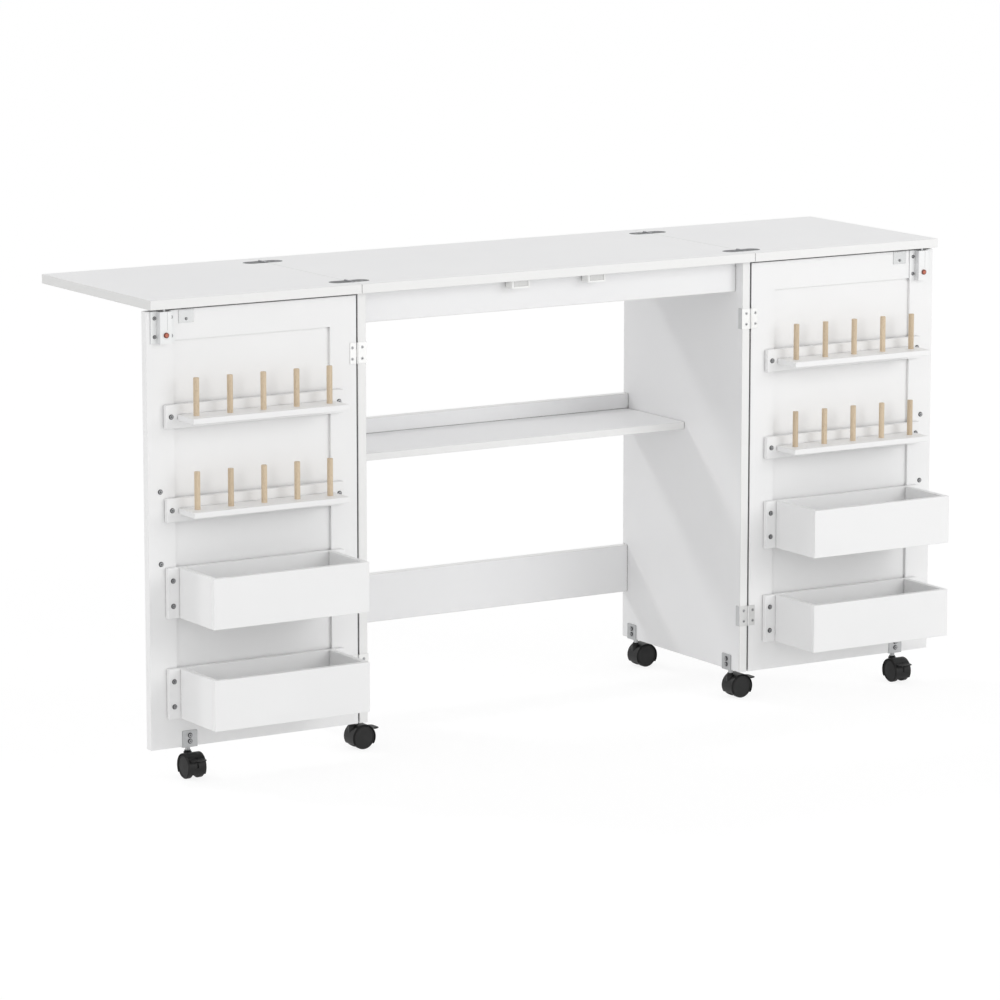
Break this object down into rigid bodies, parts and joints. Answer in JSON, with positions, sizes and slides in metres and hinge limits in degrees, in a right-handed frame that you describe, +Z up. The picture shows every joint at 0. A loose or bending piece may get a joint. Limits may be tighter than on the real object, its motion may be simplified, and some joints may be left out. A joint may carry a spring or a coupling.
{
  "type": "folding sewing cutting table",
  "caption": "Folding sewing and cutting table on casters, with fold-over leaves and two doors that swing out under them and carry spool racks and bins.",
  "frame": {"origin": "on the floor, in the middle of the table's length and depth", "axes": "+Z up; +X along the table's length, to the user's right; +Y from the front, with the bins, to the back"},
  "size_m": [1.5, 0.482, 0.7618],
  "materials": {
    "white_board": "white melamine-faced board, satin",
    "white_paint": "white painted fibreboard, satin",
    "beech": "turned beech dowel, sanded",
    "zinc_steel": "zinc plated pressed steel",
    "screw_steel": "zinc plated screw steel",
    "cam_metal": "die cast zinc",
    "dark_flap_metal": "dark grey lacquered steel",
    "brushed_nickel": "brushed nickel",
    "latch_enamel": "white and grey enamelled zinc",
    "white_plastic": "white moulded plastic",
    "magnet_grey": "ferrite magnet between steel poles",
    "red_plastic": "red moulded plastic",
    "black_nylon": "black moulded nylon, satin",
    "black_wheel": "black moulded wheel"
  },
  "bodies": {
    "carcass": {"centre_top": "white_board", "left_side_panel": "white_board", "right_side_panel": "white_board", "front_apron": "white_board", "shelf_board": "white_board", "shelf_lip": "white_board", "lower_rail": "white_board", "cam_locks": "cam_metal", "catch_housings": "white_plastic", "catch_magnets": "magnet_grey", "panel_hinge_leaves": "zinc_steel", "centre_flap_plates": "dark_flap_metal", "panel_caster_brackets": "zinc_steel", "carcass_screws": "screw_steel"},
    "left_leaf": {"left_leaf": "white_board", "left_flap_plates": "dark_flap_metal"},
    "left_door": {"left_door_frame": "white_paint", "left_door_panel": "white_paint", "left_spool_racks": "white_paint", "left_spool_pegs": "beech", "left_bins": "white_paint", "left_pull_handle": "brushed_nickel", "left_latch_housing": "latch_enamel", "left_hinge_leaves": "zinc_steel", "left_catch_plate": "zinc_steel", "left_caster_bracket": "zinc_steel", "left_door_screws": "screw_steel"},
    "left_bolt": {"left_latch_bolt": "zinc_steel"},
    "left_button": {"left_latch_button": "red_plastic"},
    "right_leaf": {"right_leaf": "white_board", "right_flap_plates": "dark_flap_metal"},
    "right_door": {"right_door_frame": "white_paint", "right_door_panel": "white_paint", "right_spool_racks": "white_paint", "right_spool_pegs": "beech", "right_bins": "white_paint", "right_pull_handle": "brushed_nickel", "right_latch_housing": "latch_enamel", "right_hinge_leaves": "zinc_steel", "right_catch_plate": "zinc_steel", "right_caster_bracket": "zinc_steel", "right_door_screws": "screw_steel"},
    "right_bolt": {"right_latch_bolt": "zinc_steel"},
    "right_button": {"right_latch_button": "red_plastic"},
    "left_front_caster": {"left_front_caster_hood": "black_nylon"},
    "left_front_wheels": {"left_front_caster_wheels": "black_wheel"},
    "left_front_brake": {"left_front_brake_lever": "black_nylon"},
    "right_front_caster": {"right_front_caster_hood": "black_nylon"},
    "right_front_wheels": {"right_front_caster_wheels": "black_wheel"},
    "right_front_brake": {"right_front_brake_lever": "black_nylon"},
    "left_rear_caster": {"left_rear_caster_hood": "black_nylon"},
    "left_rear_wheels": {"left_rear_caster_wheels": "black_wheel"},
    "right_rear_caster": {"right_rear_caster_hood": "black_nylon"},
    "right_rear_wheels": {"right_rear_caster_wheels": "black_wheel"},
    "left_door_caster": {"left_door_caster_hood": "black_nylon"},
    "left_door_wheels": {"left_door_caster_wheels": "black_wheel"},
    "left_door_brake": {"left_door_brake_lever": "black_nylon"},
    "right_door_caster": {"right_door_caster_hood": "black_nylon"},
    "right_door_wheels": {"right_door_caster_wheels": "black_wheel"},
    "right_door_brake": {"right_door_brake_lever": "black_nylon"}
  },
  "joints": [
    {"name": "left_leaf_fold", "type": "hinge", "parent": "carcass", "child": "left_leaf", "pos_m": [-0.375, 0.0535, 0.7603], "axis": [0, 1, 0], "range_deg": [0, 180]},
    {"name": "left_door_swing", "type": "hinge", "parent": "carcass", "child": "left_door", "pos_m": [-0.3765, -0.1203, 0.3955], "axis": [0, 0, 1], "range_deg": [0, 180]},
    {"name": "left_bolt_slide", "type": "slide", "parent": "left_door", "child": "left_bolt", "axis": [0, 0, 1], "range_m": [-0.008, 0], "stiffness_N_per_m": 300, "springref_m": 0.004},
    {"name": "left_button_press", "type": "slide", "parent": "left_door", "child": "left_button", "axis": [0, 1, 0], "range_m": [0, 0.002], "stiffness_N_per_m": 500, "springref_m": -0.002},
    {"name": "right_leaf_fold", "type": "hinge", "parent": "carcass", "child": "right_leaf", "pos_m": [0.375, 0.0535, 0.7603], "axis": [0, -1, 0], "range_deg": [0, 180]},
    {"name": "right_door_swing", "type": "hinge", "parent": "carcass", "child": "right_door", "pos_m": [0.3765, -0.1203, 0.3955], "axis": [0, 0, -1], "range_deg": [0, 180]},
    {"name": "right_bolt_slide", "type": "slide", "parent": "right_door", "child": "right_bolt", "axis": [0, 0, 1], "range_m": [-0.008, 0], "stiffness_N_per_m": 300, "springref_m": 0.004},
    {"name": "right_button_press", "type": "slide", "parent": "right_door", "child": "right_button", "axis": [0, 1, 0], "range_m": [0, 0.002], "stiffness_N_per_m": 500, "springref_m": -0.002},
    {"name": "left_front_swivel", "type": "hinge", "parent": "carcass", "child": "left_front_caster", "pos_m": [-0.3675, -0.082, 0.031], "axis": [0, 0, 1], "continuous": true},
    {"name": "left_front_roll", "type": "hinge", "parent": "left_front_caster", "child": "left_front_wheels", "pos_m": [-0.3539, -0.082, 0.0195], "axis": [0, 1, 0], "continuous": true},
    {"name": "left_front_brake_press", "type": "hinge", "parent": "left_front_caster", "child": "left_front_brake", "pos_m": [-0.34023, -0.082, 0.03181], "axis": [0, 1, 0], "range_deg": [0, 20]},
    {"name": "right_front_swivel", "type": "hinge", "parent": "carcass", "child": "right_front_caster", "pos_m": [0.3675, -0.082, 0.031], "axis": [0, 0, 1], "continuous": true},
    {"name": "right_front_roll", "type": "hinge", "parent": "right_front_caster", "child": "right_front_wheels", "pos_m": [0.3811, -0.082, 0.0195], "axis": [0, 1, 0], "continuous": true},
    {"name": "right_front_brake_press", "type": "hinge", "parent": "right_front_caster", "child": "right_front_brake", "pos_m": [0.39477, -0.082, 0.03181], "axis": [0, 1, 0], "range_deg": [0, 20]},
    {"name": "left_rear_swivel", "type": "hinge", "parent": "carcass", "child": "left_rear_caster", "pos_m": [-0.3675, 0.21, 0.031], "axis": [0, 0, 1], "continuous": true},
    {"name": "left_rear_roll", "type": "hinge", "parent": "left_rear_caster", "child": "left_rear_wheels", "pos_m": [-0.3539, 0.21, 0.0195], "axis": [0, 1, 0], "continuous": true},
    {"name": "right_rear_swivel", "type": "hinge", "parent": "carcass", "child": "right_rear_caster", "pos_m": [0.3675, 0.21, 0.031], "axis": [0, 0, 1], "continuous": true},
    {"name": "right_rear_roll", "type": "hinge", "parent": "right_rear_caster", "child": "right_rear_wheels", "pos_m": [0.3811, 0.21, 0.0195], "axis": [0, 1, 0], "continuous": true},
    {"name": "left_door_swivel", "type": "hinge", "parent": "left_door", "child": "left_door_caster", "pos_m": [-0.6825, -0.1115, 0.031], "axis": [0, 0, 1], "continuous": true},
    {"name": "left_door_roll", "type": "hinge", "parent": "left_door_caster", "child": "left_door_wheels", "pos_m": [-0.6825, -0.1251, 0.0195], "axis": [1, 0, 0], "continuous": true},
    {"name": "left_door_brake_press", "type": "hinge", "parent": "left_door_caster", "child": "left_door_brake", "pos_m": [-0.6825, -0.13877, 0.03181], "axis": [1, 0, 0], "range_deg": [0, 20]},
    {"name": "right_door_swivel", "type": "hinge", "parent": "right_door", "child": "right_door_caster", "pos_m": [0.6825, -0.1115, 0.031], "axis": [0, 0, 1], "continuous": true},
    {"name": "right_door_roll", "type": "hinge", "parent": "right_door_caster", "child": "right_door_wheels", "pos_m": [0.6825, -0.1251, 0.0195], "axis": [1, 0, 0], "continuous": true},
    {"name": "right_door_brake_press", "type": "hinge", "parent": "right_door_caster", "child": "right_door_brake", "pos_m": [0.6825, -0.13877, 0.03181], "axis": [1, 0, 0], "range_deg": [0, 20]}
  ]
}
